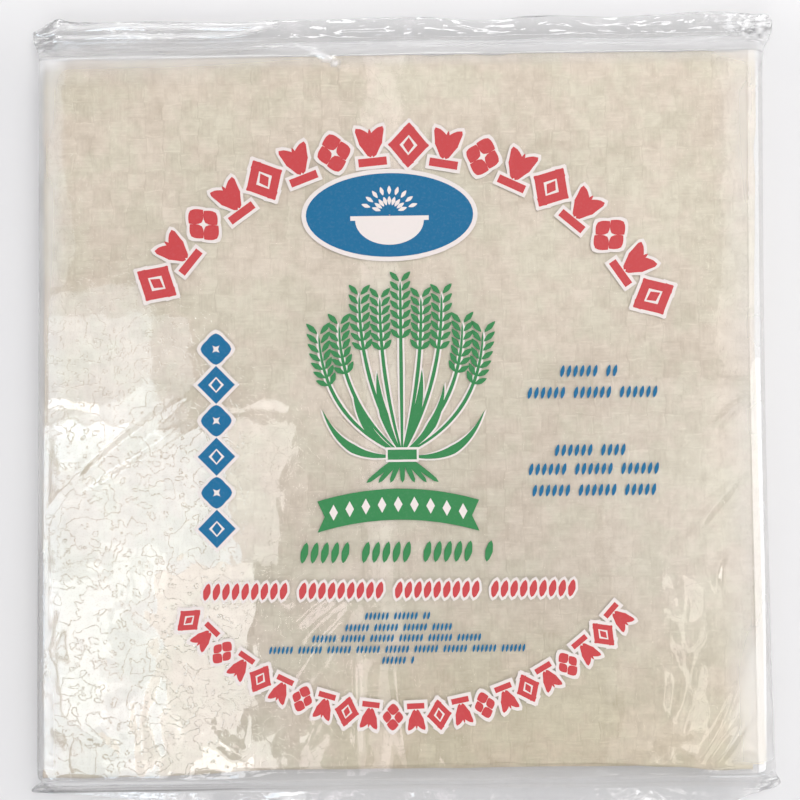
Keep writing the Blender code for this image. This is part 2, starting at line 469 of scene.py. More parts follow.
def rightReach(y):
    # the same for the right outline, where the film is slack
    return glide(((-endReach, filmSide - film["tuckRight"]), (-119.6 * mm, filmSide - 6 * mm),
                  (-117.6 * mm, filmSide + 1 * mm), (film["nearEar"], filmSide + film["nearRightEar"]),
                  (-111 * mm, filmSide + film["sideFlare"]), (-40 * mm, filmSide + 1.2 * mm),
                  (108.5 * mm, filmSide + film["rightOut"]),
                  (film["farEar"], filmSide + film["farRightEar"]), (endReach, filmSide + 7.5 * mm)), y)


def edgeDepth(y, round):
    # how far in from the outline the rounded edge reaches: deepest at the ears
    ear = film["earDepth"]
    return glide(((-endReach, 3 * mm), (film["nearEar"], ear), (-108 * mm, round + 1 * mm),
                  (-40 * mm, round), (108.5 * mm, round), (film["farEar"], ear), (endReach, 4 * mm)), y)


def edgePoint(y, square, flare):
    # power of the edge's superellipse: square beside the stack, pointed at the ears
    return glide(((-endReach, 1.0), (film["nearEar"], 2.2), (-108 * mm, square + flare),
                  (-40 * mm, square), (108.5 * mm, square), (film["farEar"], 1.6), (endReach, 1.0)), y)


def topHeight(y):
    # flat over the stack, then down to the fin
    high = film["height"]
    return glide(((-endReach, finTop), (-film["nearRoot"], finTop), (-114 * mm, 9.5 * mm),
                  (-111.3 * mm, high - 1.8 * mm), (-109.6 * mm, high), (110 * mm, high),
                  (112.5 * mm, high - 1.4 * mm), (116 * mm, 10.8 * mm), (finRoot, finTop),
                  (endReach, finTop)), y)


def bottomHeight(y):
    # on the floor under the stack, then up to the fin
    return glide(((-endReach, finBottom), (-film["nearRoot"], finBottom), (-112.5 * mm, 1.2 * mm),
                  (-108.5 * mm, 0), (108.5 * mm, 0), (113 * mm, 1.2 * mm), (finRoot, finBottom),
                  (endReach, finBottom)), y)


# each crease: start, bend and end (x, y), height, half width, all in millimetres
creases = (
    ((104.5, -71), (99, -92), (86, -109), 0.16, 1.6),
    ((103, -93), (98, -101), (91.5, -108), 0.30, 1.8),
    ((107, 4), (100, 0), (93, -8), 0.25, 1.6),
    ((105.5, -18), (97, -26), (86.5, -38.5), 0.25, 1.8),
    ((97.5, -44), (92, -50), (96, -56), 0.22, 1.5),
    ((79.8, -104), (78, -107), (75, -109.6), 0.22, 1.2),
    ((-33, 117), (-26, 112), (-17, 106.5), 0.60, 1.6),
    ((-108, -35), (-106, -22), (-62, 9), 0.27, 1.4),
    ((-106, -29), (-85, -18), (-61.5, -3.5), 0.20, 1.5),
    ((-14, -49.5), (-24, -55), (-34.5, -65), 0.08, 3.2),
    ((-15, -60), (-27, -68), (-34, -82), 0.08, 3.6),
    ((-24, -90), (-28, -94), (-30, -100), 0.08, 2.6),
    ((-15, -70), (-15, -90), (-14.5, -104), 0.07, 1.6),
    ((-3, -72), (-2, -95), (2, -110), 0.10, 2.0),
    ((11, -103), (12.5, -111), (14.5, -103.5), 0.2, 1.1),
    ((-106.5, -91), (-98, -93), (-88, -100.5), 0.25, 2.2),
    ((-62, -95), (-54, -99), (-50, -103), 0.2, 2.4),
)


def creaseHeight(x, y):
    # each crease follows a quadratic curve; its section is a rounded cusp that fades at both ends
    total = np.zeros_like(x)
    for start, bend, end, rise, width in creases:
        t = np.linspace(0, 1, 41)[:, None]
        start, bend, end = np.array((start, bend, end))
        line = ((1 - t) ** 2 * start + 2 * t * (1 - t) * bend + t**2 * end) * mm
        (lowX, lowY), (highX, highY) = line.min(0) - 5 * width * mm, line.max(0) + 5 * width * mm
        near = (x > lowX) & (x < highX) & (y > lowY) & (y < highY)
        if not near.any():
            continue
        gap = np.hypot(x[near][:, None] - line[:, 0], y[near][:, None] - line[:, 1])
        best = gap.argmin(1)
        distance = gap[np.arange(len(best)), best] / (width * mm)
        fade = np.sin(np.pi * np.clip(best / 40, 0.02, 0.98)) ** 0.6
        total[near] += rise * mm * fade * (1.2 - np.sqrt(distance**2 + 0.05)).clip(0) ** 1.5
    return total


def faceRelief(x, y):
    # slow waves everywhere, tight crumples in the near left and down the right, plus the creases;
    # the sum is bent so that it never dips into the sheets
    waves = 0.10 * mm * noise(x, y, 26 * mm, 34 * mm, 11) + 0.035 * mm * noise(x, y, 11 * mm, 15 * mm, 12)
    swirlX = x + 6 * mm * noise(x, y, 15 * mm, 15 * mm, 13) + 1.5 * mm * noise(x, y, 5 * mm, 5 * mm, 18)
    swirlY = y + 6 * mm * noise(x, y, 15 * mm, 15 * mm, 14) + 1.5 * mm * noise(x, y, 5 * mm, 5 * mm, 19)
    crumple = 0.07 * mm * noise(swirlX, swirlY, 8 * mm, 11 * mm, 15)
    crumple += 0.06 * mm * (1 - 2 * np.abs(noise(swirlX, swirlY, 5 * mm, 7.5 * mm, 16)))
    crumple += 0.035 * mm * noise(swirlX, swirlY, 2.7 * mm, 3.9 * mm, 20)
    nearLeft = step(-22 * mm, -50 * mm, x) * step(8 * mm, -28 * mm, y)
    downRight = bell(x, 80 * mm, 9 * mm) * step(-30 * mm, -60 * mm, y)
    column = 0.10 * mm * bell(x, -4 * mm, 6.5 * mm) * step(-40 * mm, -80 * mm, y)
    hem = step(-101 * mm, -108 * mm, y) * noise(x, y, 16 * mm, 2.0 * mm, 17)
    relief = 0.14 * mm + waves + crumple * (0.08 + 0.20 * nearLeft + 0.8 * downRight) + column
    relief += 0.10 * mm * hem * step(-20 * mm, -60 * mm, x) + creaseHeight(x, y)
    lowest, turn = -0.10 * mm, 0.04 * mm
    return lowest + turn * np.logaddexp(0, (relief - lowest) / turn)


def finWave(x, y):
    # wave height * sin(2 pi x / wave length + phase), growing from nothing at the stack
    beyond = np.maximum(0, np.abs(y) - sheets["side"] / 2) / (endReach - sheets["side"] / 2)
    return film["finWave"] * beyond * np.sin(2 * np.pi * x / film["finWaveLength"] + np.sign(y) * 0.8)


def beyondSheets(y):
    # distance past the sheets; the near flap starts 3 mm sooner
    return np.abs(y) - sheets["side"] / 2 + 3 * mm * (y < 0)


def earFolds(x, y):
    # crossed folds that lift the whole ear
    zone = step(106 * mm, 110 * mm, np.abs(x)) * step(111 * mm, 114 * mm, np.abs(y))
    return zone * (0.5 - np.abs(noise(x + y, x - y, 4.2 * mm, 2.2 * mm, 42)))


def shadeLines(x, y):
    # painted shade: the film is drawn darker where it is folded sharply or seen through its own edge, and
    # along the shadow line at the far fold: bells across two folds of the near flap with a band between
    # them, the far fold, the near left side, and the ears' folds
    line = film["foldLine"]
    corner = step(-85 * mm, -112 * mm, x)
    low = bell(y, 0.010 * (x + 110 * mm) - 116.3 * mm, line) * step(-20 * mm, -80 * mm, x)
    high = bell(y, -114.4 * mm - 1.6 * mm * corner, line) * (0.18 + 0.30 * step(-50 * mm, -90 * mm, x))
    band = 0.12 * step(-116.3 * mm, -115.3 * mm, y) * step(-113.4 * mm, -114.4 * mm, y)
    band *= step(-30 * mm, -70 * mm, x)
    far = 0.28 * bell(y, 110.4 * mm, line) * step(-5 * mm, 60 * mm, x) * step(104 * mm, 98 * mm, x)
    side = 0.7 * bell(x, -111.2 * mm, 0.5 * mm) * step(-20 * mm, -60 * mm, y) * (y > -112 * mm)
    folds = 0.45 * step(0.22, 0.02, earFolds(x, y)) * (np.abs(x) > 109 * mm) * (np.abs(y) > 113 * mm)
    return np.clip(low + high + band + far + side + folds, 0, 1)


def lips(x, y):
    # two long rolled lips on the far left of the fin, each a bell, that meet at their right end
    sway = 0.3 * mm * noise(x, y * 0, 13 * mm, 1, 37)
    meet = 2.2 * mm * step(-58 * mm, -41 * mm, x) ** 2
    upper = bell(y, film["upperLip"] + sway, 0.7 * mm)
    lower = bell(y, film["lowerLip"] + sway + meet, 0.6 * mm)
    along = step(-38 * mm, -45 * mm, x) * step(-110 * mm, -104 * mm, x) * (y > 0)
    return along * np.maximum(upper, lower)


def finCrumple(x, y):
    # ridged noise on swirled coordinates, gathered in bunches along the fin
    swirl = x + 2.5 * mm * noise(x, y, 6 * mm, 3 * mm, 33)
    crumple = 1 - 2 * np.abs(noise(swirl + 0.5 * y, y, 4.2 * mm, 2.6 * mm, 31))
    crumple += 0.5 - np.abs(noise(swirl - 0.8 * y, y, 1.9 * mm, 1.5 * mm, 34))
    return crumple * (0.3 + 0.7 * step(-0.2, 0.5, noise(x, y * 0, 22 * mm, 1, 35)))


def endWrinkles(x, y):
    # past the stack: fine wrinkles along the slope, crumples and lips on the fin, calm near the lips
    past = beyondSheets(y)
    slope = step(0, 3 * mm, past) * step(film["finLength"] + 10 * mm, 8 * mm, past)
    fin = step(8 * mm, 11 * mm, past)
    wrinkle = noise(x, y, 16 * mm, 1.5 * mm, 32) + 0.6 * noise(x + y, y, 5 * mm, 1.0 * mm, 36)
    calm = 1 - 0.8 * step(-38 * mm, -46 * mm, x) * (y > 0)
    still = 1 - (1 - calm) * step(7 * mm, 9 * mm, past)
    relief = film["wrinkleRise"] * slope * wrinkle * still + film["lipRise"] * lips(x, y)
    return relief + film["crumpleRise"] * fin * finCrumple(x, y) * calm


def filmMilkAndSheen(x, y):
    # a white veil, partly milky folded and doubled film and partly painted highlights and painted light on
    # it: the sum of the fin's lips, crumple tops and cut edge, the creases, a streak, both sides, the far
    # slope and the rim before it, the near fold and wedge, and the ears, each faded in with steps or bells;
    # the lips, crumple tops, streak, sides, slope, rim, near fold and the ears' arcs are the painted
    # highlights and painted light
    past = beyondSheets(y)
    tops = 0.6 * step(0.75, 1.25, finCrumple(x, y)) * step(9 * mm, 11 * mm, past)
    cut = 0.35 * step(1.1 * mm, 0.3 * mm, endReach - np.abs(y))
    cut *= 0.5 + 0.5 * noise(x, y, 3 * mm, 2 * mm, 38)
    fold = 0.14 * step(0.12 * mm, 0.4 * mm, creaseHeight(x, y)) * (past < 0)
    streak = bell(y, 112 * mm - 0.62 * (x + 26 * mm), 0.8 * mm)
    streak *= step(-33 * mm, -30 * mm, x) * step(-17 * mm, -19 * mm, x)
    sides = 0.42 * step(-101 * mm, -108 * mm, x) + 0.36 * step(95 * mm, 107 * mm, x)
    sides += 0.30 * step(-108.5 * mm, -110.5 * mm, x) * step(-50 * mm, -20 * mm, y)
    sides += 0.33 * step(94 * mm, 102 * mm, x) * step(-55 * mm, -85 * mm, y)
    sides *= (past < 0) * (0.8 + 0.2 * noise(x, y, 4 * mm, 14 * mm, 41))
    down = y - 110 * mm
    slope = step(-0.5 * mm, 1 * mm, down) * step(9 * mm, 6 * mm, down)
    slope *= 0.14 + 0.46 * step(-55 * mm, -20 * mm, x) + 0.06 * noise(x, y, 22 * mm, 3 * mm, 43)
    left = step(-20 * mm, -80 * mm, x)
    rim = 0.40 * bell(y, 108.9 * mm, 1.9 * mm) * (0.75 + 0.25 * left)
    rim += 0.16 * step(99 * mm, 107 * mm, y) * (y < 111 * mm) * left
    near = 0.8 * bell(y, -110.8 * mm, 0.35 * mm) * step(90 * mm, 93 * mm, x) * step(108 * mm, 105 * mm, x)
    wedge = 0.5 * bell(y, -111.4 * mm, 1.5 * mm) * step(-30 * mm, -70 * mm, x)
    curl = np.hypot(x - 121 * mm, (y - 121.5 * mm) * 0.9)
    arcs = bell(curl, 5.6 * mm, 0.7 * mm) + 0.6 * bell(curl, 3.2 * mm, 0.6 * mm)
    ears = 1.2 * step(0.26, 0.42, earFolds(x, y)) + arcs * (x > 108 * mm) * (y > 116 * mm)
    fin = 0.95 * lips(x, y) + tops + cut + ears
    return np.clip(fin + fold + streak + sides + slope + rim + near + wedge, 0, 1)


def edgeRun(outline, depth, point, low, high):
    # superellipse quarter-turns from the upper shoulder, out to the outline, to the lower shoulder
    angle = np.linspace(np.pi / 2, -np.pi / 2, film["sideSteps"] + 1)[None]
    out = np.abs(np.cos(angle)) ** point
    out[:, [0, -1]] = 0
    up = np.sign(np.sin(angle)) * np.abs(np.sin(angle)) ** point
    return outline - depth + depth * out, (low + high) / 2 + (high - low) / 2 * up


def filmSections(y):
    # one closed loop at each y: top run, right edge, bottom run, left edge
    y = y[:, None]
    low, high = bottomHeight(y), topHeight(y)
    rightX, rightZ = edgeRun(rightReach(y), edgeDepth(y, film["slackRound"]),
                             edgePoint(y, film["slackPoint"], film["slackFlare"]), low, high)
    leftX, leftZ = edgeRun(leftReach(y), edgeDepth(y, film["sideRound"]),
                           edgePoint(y, film["sidePoint"], 0), low, high)
    share = np.arange(film["topSteps"])[None] / film["topSteps"]
    topX = -leftX[:, :1] + (rightX[:, :1] + leftX[:, :1]) * share
    topY = y + 0 * topX
    fade = np.minimum(1, 14 * np.minimum(share, 1 - share))
    onStack = step(118 * mm, 110 * mm, np.abs(y))
    topZ = high + fade * (faceRelief(topX, topY) * onStack + endWrinkles(topX, topY))
    share = np.arange(1, film["bottomSteps"])[None] / film["bottomSteps"]
    bottomX = rightX[:, -1:] + (-leftX[:, -1:] - rightX[:, -1:]) * share
    bottomZ = low + 0 * bottomX
    x = np.hstack([topX, rightX, bottomX, -leftX[:, :0:-1]])
    z = np.hstack([topZ, rightZ, bottomZ, leftZ[:, :0:-1]])
    ragged = 0.7 * mm * noise(x, y * 0, 19 * mm, 1, 39) - 0.5 * mm
    ragged = ragged + 2.0 * mm * bell(x, -108 * mm, 3 * mm) * (y > 0)
    pull = np.sign(y) * ragged * step(finRoot - 2 * mm, endReach, np.abs(y))
    return np.stack([x, y + pull, z + finWave(x, y) + film["earRise"] * earFolds(x, y)], -1)


def filmMaterial():
    # clear where seen head on, mirror-like at a slant: share = mirror + (1 - mirror) * facing^5;
    # the film past the sheets lets less light through and wears a white haze, partly its own and partly
    # painted light; the milky veil with its painted highlights, and the painted shade, come from the film's
    # own map;
    # hair creases are contour lines of a noise, crowded in the near left
    material, tree, shader = newMaterial("clearFilm")
    place = placeOf(tree)
    x, y = axesOf(tree, place)
    fine = speckle(tree, place, 150, 1.0, 0.5, (1.0, 0.7, 1.0))
    drift = calc(tree, "MULTIPLY", speckle(tree, place, 150, 2.5, 0.6), 6.0)
    hair = ramp(tree, calc(tree, "PINGPONG", drift, 0.5), 0.07, 0.0)
    crowd = calc(tree, "MULTIPLY", ramp(tree, x, -44 * mm, -62 * mm), ramp(tree, y, 40 * mm, -15 * mm))
    hair = calc(tree, "MULTIPLY", hair, calc(tree, "MULTIPLY_ADD", crowd, 0.8, 0.06))
    normal = bumpOf(tree, calc(tree, "MULTIPLY_ADD", fine, 0.5, hair), 0.04 * mm)
    weight = tree.nodes.new("ShaderNodeLayerWeight")
    weight.inputs["Blend"].default_value = 0.5
    slant = calc(tree, "POWER", weight.outputs["Facing"], 5.0)
    share = calc(tree, "MULTIPLY_ADD", slant, 1 - film["mirror"], film["mirror"])
    endwise = calc(tree, "ABSOLUTE", calc(tree, "SUBTRACT", y, 1.5 * mm))
    past = ramp(tree, endwise, 108 * mm, 111 * mm)
    onFin = ramp(tree, endwise, 116.5 * mm, 118.5 * mm)
    face, end, fin = ((film[name],) * 3 + (1,) for name in ("faceTint", "endTint", "finTint"))
    tint = mixColour(tree, onFin, mixColour(tree, past, face, end), fin)
    own = tree.nodes.new("ShaderNodeUVMap")
    own.uv_map = film["map"]
    milkAndSheen, shade = axesOf(tree, own.outputs[0])
    clear = tree.nodes.new("ShaderNodeBsdfTransparent")
    feed(tree, clear.inputs["Color"], mixColour(tree, shade, tint, film["shadeTone"]))
    gloss = tree.nodes.new("ShaderNodeBsdfGlossy")
    gloss.inputs["Color"].default_value = (1, 1, 1, 1)
    gloss.inputs["Roughness"].default_value = film["roughness"]
    tree.links.new(normal, gloss.inputs["Normal"])
    veil = tree.nodes.new("ShaderNodeBsdfDiffuse")
    veil.inputs["Color"].default_value = film["veilTone"]
    # haze: the film's own, plus painted light on the film past the sheets and the milky veil's painted
    # highlights
    haze = calc(tree, "MULTIPLY_ADD", past, film["endHazeAndLight"], film["haze"])
    haze = calc(tree, "MULTIPLY_ADD", milkAndSheen, film["milkAndSheenHaze"], haze)
    hazy = mixShader(tree, haze, clear.outputs[0], veil.outputs[0])
    both = mixShader(tree, share, hazy, gloss.outputs[0])
    tree.links.new(both, tree.nodes["Material Output"].inputs["Surface"])
    tree.nodes.remove(shader)
    return material


def makeFilm(material):
    flat = 109 * mm  # the long middle stretch ends here
    ends = np.linspace(0, 1, film["endSteps"], endpoint=False)
    near = -endReach + ends * (endReach - flat)
    middle = np.linspace(-flat, flat, film["middleSteps"] + 1)
    y = np.concatenate([near, middle, -near[::-1]])
    loops = filmSections(y)
    rows, columns = loops.shape[:2]
    faces = gridFaces(rows, columns, closed=True).tolist()
    faces.append(list(range(columns - 1, -1, -1)))
    faces.append(list(range((rows - 1) * columns, rows * columns)))
    wrap = makePiece("filmWrap", loops, faces, material)
    # the milky veil with its painted highlights, and the painted shade, are carried in a map of the film's
    # own; the shade stays off the underside
    top, side = film["topSteps"], film["sideSteps"]
    milkAndSheen = filmMilkAndSheen(loops[..., 0], loops[..., 1])
    milkAndSheen[:, top:] *= 0.55 + 0.4 * step(4 * mm, 13 * mm, loops[:, top:, 2])
    shade = shadeLines(loops[..., 0], loops[..., 1])
    shade[:, top + side + 1 : -side] = 0
    corners = np.zeros(len(wrap.data.loops), int)
    wrap.data.loops.foreach_get("vertex_index", corners)
    painted = np.stack([milkAndSheen.ravel(), shade.ravel()], -1)[corners]
    wrap.data.uv_layers.new(name=film["map"]).data.foreach_set("uv", painted.ravel())
    return wrap


# the print: fields of ink on the film's outer face

ink = {
    "lift": 0.06,  # mm between the film and the white backing, and between the ink layers
    "halo": 1.0,  # mm of white backing round each red or blue shape
    "red": (0.588, 0.062, 0.068, 1),
    "blue": (0.005, 0.147, 0.320, 1),
    "green": (0.037, 0.240, 0.078, 1),
    "white": (0.840, 0.770, 0.745, 1),
}
patches = {"red": [], "blue": [], "green": [], "white": []}


def blade(start, end, width, taper=1.0, bend=0.0, steps=(12, 4)):
    # centreline from start to end, bowed by bend; half width = width/2 * (1 - |2s - 1|)^taper
    s = np.linspace(0, 1, steps[0] + 1)[:, None]
    t = np.linspace(-1, 1, steps[1] + 1)[None]
    start, end = np.array(start, float), np.array(end, float)
    run = end - start
    side = np.array([-run[1], run[0]]) / np.hypot(*run)
    half = width / 2 * (np.maximum(1 - np.abs(2 * s - 1), 0.0) ** taper if taper else 1 + 0 * s)
    x = start[0] + run[0] * s + side[0] * (bend * 4 * s * (1 - s) + half * t)
    y = start[1] + run[1] * s + side[1] * (bend * 4 * s * (1 - s) + half * t)
    return x, y


def oval(centre, radii, steps=(10, 56)):
    # rings (r cos a, r sin a) from the centre out
    r = np.linspace(0.01, 1, steps[0] + 1)[:, None]
    a = np.linspace(0, 2 * np.pi, steps[1] + 1)[None]
    return centre[0] + radii[0] * r * np.cos(a), centre[1] + radii[1] * r * np.sin(a)


def stamp(colour, shape, level):
    patches[colour].append((shape, level))


def stampBlade(colour, start, end, width, taper=0.6, bend=0.0, halo=0.0, steps=(12, 4)):
    # one blade of ink, and below it the same blade grown by the halo in white
    start, end = np.array(start, float), np.array(end, float)
    stamp(colour, blade(start, end, width, taper, bend, steps), 1)
    if halo:
        grow = (end - start) / np.hypot(*(end - start)) * halo * (1.25 if taper else 1)
        stamp("white", blade(start - grow, end + grow, width + 2 * halo, taper, bend, steps), 0)


def makePrint(materials):
    # every patch follows the film, lifted by its level
    for colour, shapes in patches.items():
        points, faces, count = [], [], 0
        for (x, y), level in shapes:
            x, y = x * mm, y * mm
            order = len(points) % 6
            z = film["height"] + faceRelief(x, y) + ink["lift"] * mm * (0.8 + 0.9 * level + 0.13 * order)
            points.append(np.stack([x, y, z], -1).reshape(-1, 3))
            quads = gridFaces(*x.shape)
            a, b, d = (points[-1][quads[:, i]] for i in (0, 1, 3))
            up = np.cross(b - a, d - a)[:, 2].sum() > 0
            faces += ((quads if up else quads[:, ::-1]) + count).tolist()
            count += x.size
        name = "print" + colour.capitalize()
        makePiece(name, np.vstack(points), faces, materials[colour])


def inkMaterial(colour):
    # flat ink with a faint grain of thin spots
    material, tree, shader = newMaterial("ink" + colour.capitalize())
    grain = speckle(tree, placeOf(tree), 1400, 2.0, 0.6)
    base = ink[colour]
    pale = tuple(c * 0.9 + 0.05 for c in base[:3]) + (1,)
    thin = ramp(tree, grain, 0.45, 0.80, (0.0, 0.45))
    feed(tree, shader.inputs["Base Color"], mixColour(tree, thin, base, pale))
    feed(tree, shader.inputs["Roughness"], 0.5)
    feed(tree, shader.inputs["Specular IOR Level"], 0.15)
    return material


# a garland tile is drawn in its own frame: out points away from the garland's centre, across runs
# along the garland, and wide and tall are its sizes that way


def turned(centre, turn, across, out):
    return np.array([centre[0] + out * math.cos(turn) + across * math.sin(turn),
                     centre[1] + out * math.sin(turn) - across * math.cos(turn)])


def petalTile(centre, turn, wide, tall, colour):
    # lens petals from the tile's middle to its four sides
    at = partial(turned, centre, turn)
    thick = 0.58 * min(wide, tall)
    for i in range(4):
        a = np.pi / 2 * i
        sx, sy = math.sin(a) * wide / 2, math.cos(a) * tall / 2
        stampBlade(colour, at(0.14 * sx, 0.14 * sy), at(sx, sy), thick, 0.6, halo=ink["halo"])


def lozengeTile(centre, turn, wide, tall, colour):
    # four bars joined in a lozenge, with a small solid lozenge inside
    at = partial(turned, centre, turn)
    corners = np.array([(0, tall / 2), (wide / 2, 0), (0, -tall / 2), (-wide / 2, 0), (0, tall / 2)])
    thick = 0.25 * min(wide, tall)
    for a, b in zip(corners, corners[1:]):
        way = (b - a) / np.hypot(*(b - a)) * thick * 0.5
        stampBlade(colour, at(*(a * 0.86 - way)), at(*(b * 0.86 + way)), thick, 0,
                   halo=ink["halo"], steps=(8, 2))
    stampBlade(colour, at(0, -tall * 0.2), at(0, tall * 0.2), wide * 0.32, 1.0)
    stamp("white", blade(at(0, -tall / 2), at(0, tall / 2), wide, 1.0), 0)


def leafTile(centre, turn, wide, tall, colour):
    # two leaves leaning apart over a short bar, with a stem between them
    at = partial(turned, centre, turn)
    for hand in (-1, 1):
        stampBlade(colour, at(hand * 0.4, -tall * 0.28), at(hand * wide * 0.40, tall * 0.5),
                   wide * 0.46, 0.5, bend=hand * wide * 0.10, halo=ink["halo"])
    stampBlade(colour, at(-wide * 0.42, -tall * 0.40), at(wide * 0.42, -tall * 0.40), tall * 0.21, 0,
               halo=ink["halo"], steps=(8, 2))
    stampBlade(colour, at(0, -tall * 0.16), at(0, tall * 0.46), wide * 0.18, 0.6)


garlands = (
    {"centre": (-0.3, -4.7), "radius": 86.6, "fromDegrees": 148.8, "toDegrees": 26.7, "tiles": 17,
     "wide": 10.4, "tall": 12.0},
    {"centre": (0.1, -5.4), "radius": 86.4, "fromDegrees": -138.9, "toDegrees": -41.6, "tiles": 22,
     "wide": 6.2, "tall": 8.0},
)


def drawGarlands():
    # tiles side by side along each arc, facing out
    for garland in garlands:
        angles = np.radians(np.linspace(garland["fromDegrees"], garland["toDegrees"], garland["tiles"]))
        for i, a in enumerate(angles):
            place = np.array(garland["centre"]) + garland["radius"] * np.array([math.cos(a), math.sin(a)])
            tile = (lozengeTile, leafTile, petalTile, leafTile)[i % 4]
            tile(place, a, garland["wide"], garland["tall"], "red")


def grainRow(x0, x1, y, tall, gap, width, colour, rest, halo=0.0):
    # leaning grains side by side, with a gap after every few
    lean = 0.25 * tall / 2
    for i in range(int((x1 - x0) / gap)):
        if i % (rest + 1) != rest:
            x = x0 + gap * (i + 0.5)
            stampBlade(colour, (x - lean, y - tall / 2), (x + lean, y + tall / 2), width, 0.45,
                       halo=halo, steps=(8, 3))


def drawRows():
    # rows of grains: a red one, a green one, and small blue ones low down and at the right
    grainRow(-61, 57, -53.8, 5.2, 2.9, 2.3, "red", halo=0.8, rest=9)
    grainRow(-31.5, 29, -42.4, 6.4, 3.1, 2.3, "green", rest=5)
    for x0, x1, y in ((-12, 9, -61.6), (-18, 15, -65.0), (-28, 24, -68.2), (-41, 37, -71.5),
                      (-7, 4, -74.8)):
        grainRow(x0, x1, y, 2.4, 1.25, 0.8, "blue", rest=6)
    for x0, x1, y in ((48, 67, 11.7), (38, 79, 5.2), (46, 69, -12.3), (38, 78, -18.0),
                      (39, 78, -24.4)):
        grainRow(x0, x1, y, 3.7, 2.0, 1.3, "blue", rest=6)


def drawColumn():
    # six small flowers and lozenges one above another
    for i, y in enumerate(np.linspace(19.8, -34.8, 6)):
        tile = lozengeTile if i % 2 else petalTile
        tile(np.array([-56.4, y]), math.pi / 2, 9.4, 9.6, "blue")


def drawBadge():
    # blue oval with a white rim, and in it a plain white bowl heaped with grains
    centre = np.array([-3.0, 60.3])
    stamp("white", oval(centre, (27.0, 14.3)), 0)
    stamp("blue", oval(centre, (25.6, 12.9)), 1)
    a = np.linspace(np.pi, 2 * np.pi, 33)[None]
    r = np.linspace(0.01, 1, 9)[:, None]
    stamp("white", (centre[0] + 10.5 * r * np.cos(a), centre[1] - 1.6 + 7.6 * r * np.sin(a)), 2)
    stamp("white", blade(centre + (-12, -1.0), centre + (12, -1.0), 1.4, 0), 2)
    for i in range(9):
        a = math.radians(20 + 17.5 * i)
        way = np.array([math.cos(a), math.sin(a) * 0.95])
        for reach in (2.8, 6.2):
            start = centre + (0, 0.4) + way * reach
            stamp("white", blade(start, start + way * 2.9, 1.25, 0.6, steps=(8, 4)), 2)


def drawSheaf():
    # a tied sheaf of rice: bowed stems fan out of one tie, with grains hanging along their tips
    tie = np.array([0.0, -13.0])
    for i, spread in enumerate(np.linspace(-1, 1, 9)):
        tip = tie + (spread * 25, 53 - 16 * spread**2 - 4 * (i % 2))
        bend = -spread * 7
        stampBlade("green", tie, tip, 1.1, 0.25, bend, halo=0.6, steps=(30, 3))
        run = tip - tie
        length = np.hypot(*run)
        side = np.array([-run[1], run[0]]) / length
        for s in np.linspace(0.66, 0.99, 7):
            place = tie + run * s + side * bend * 4 * s * (1 - s)
            way = run / length + side * bend * 4 * (1 - 2 * s) / length
            for hand in (-1, 1):
                out = way * 0.8 + hand * np.array([-way[1], way[0]]) * 0.75
                stampBlade("green", place + out * 0.5, place + out * 4.2, 1.7, 0.6, steps=(8, 4))
    for spread in (-1.15, -0.7, -0.35, 0.3, 0.62, 1.2):
        tip = tie + (spread * 21, 30 - 14 * abs(spread))
        stampBlade("green", tie, tip, 2.6, 0.7, -spread * 5, halo=0.6, steps=(24, 4))
    for spread in np.linspace(-1, 1, 7):
        stampBlade("green", tie, tie + (spread * 11, -8.5), 1.6, 0.2, steps=(10, 3))
    stamp("white", blade(tie + (-5, 0), tie + (5, 0), 4.4, 0, steps=(10, 4)), 2)
    stamp("green", blade(tie + (-4.4, 0), tie + (4.4, 0), 3.0, 0, steps=(10, 4)), 3)


def drawRibbon():
    # a low arched band with notched ends and a row of pale lozenges
    s = np.linspace(-1, 1, 41)[None]
    t = np.linspace(-1, 1, 9)[:, None]
    x = -1.4 + 24.5 * s - 2.2 * np.sign(s) * (1 - np.abs(t)) * step(0.8, 1.0, np.abs(s))
    stamp("green", (x, -28.0 - 3.6 * s**2 + 4.7 * t), 2)
    for k in np.linspace(-0.8, 0.8, 9):
        middle = np.array([-1.4 + 24.5 * k, -28.0 - 3.6 * k**2])
        stamp("white", blade(middle - (0, 2.4), middle + (0, 2.4), 2.6, 1.0, steps=(6, 4)), 3)


# floor, light and camera

studio = {
    "floorTone": (0.83, 0.83, 0.84, 1),
    "cloudTone": (0.82, 0.82, 0.835, 1),
    "paintedFarLight": 1.14,  # painted light: how much brighter the floor is past the far fin
    "worldTone": (0.97, 0.97, 1.0, 1),
    "worldStrength": 0.43,
    "cameraPlace": (1.59 * mm, -10.4 * mm, 357.2 * mm),
    "cameraTurn": (2.35, 0.377, -0.709),  # degrees
    "lens": 50.35,
    "panelHeight": 1.017,
    "panelStep": 4 * mm,  # each panel hangs this far below the one before
}
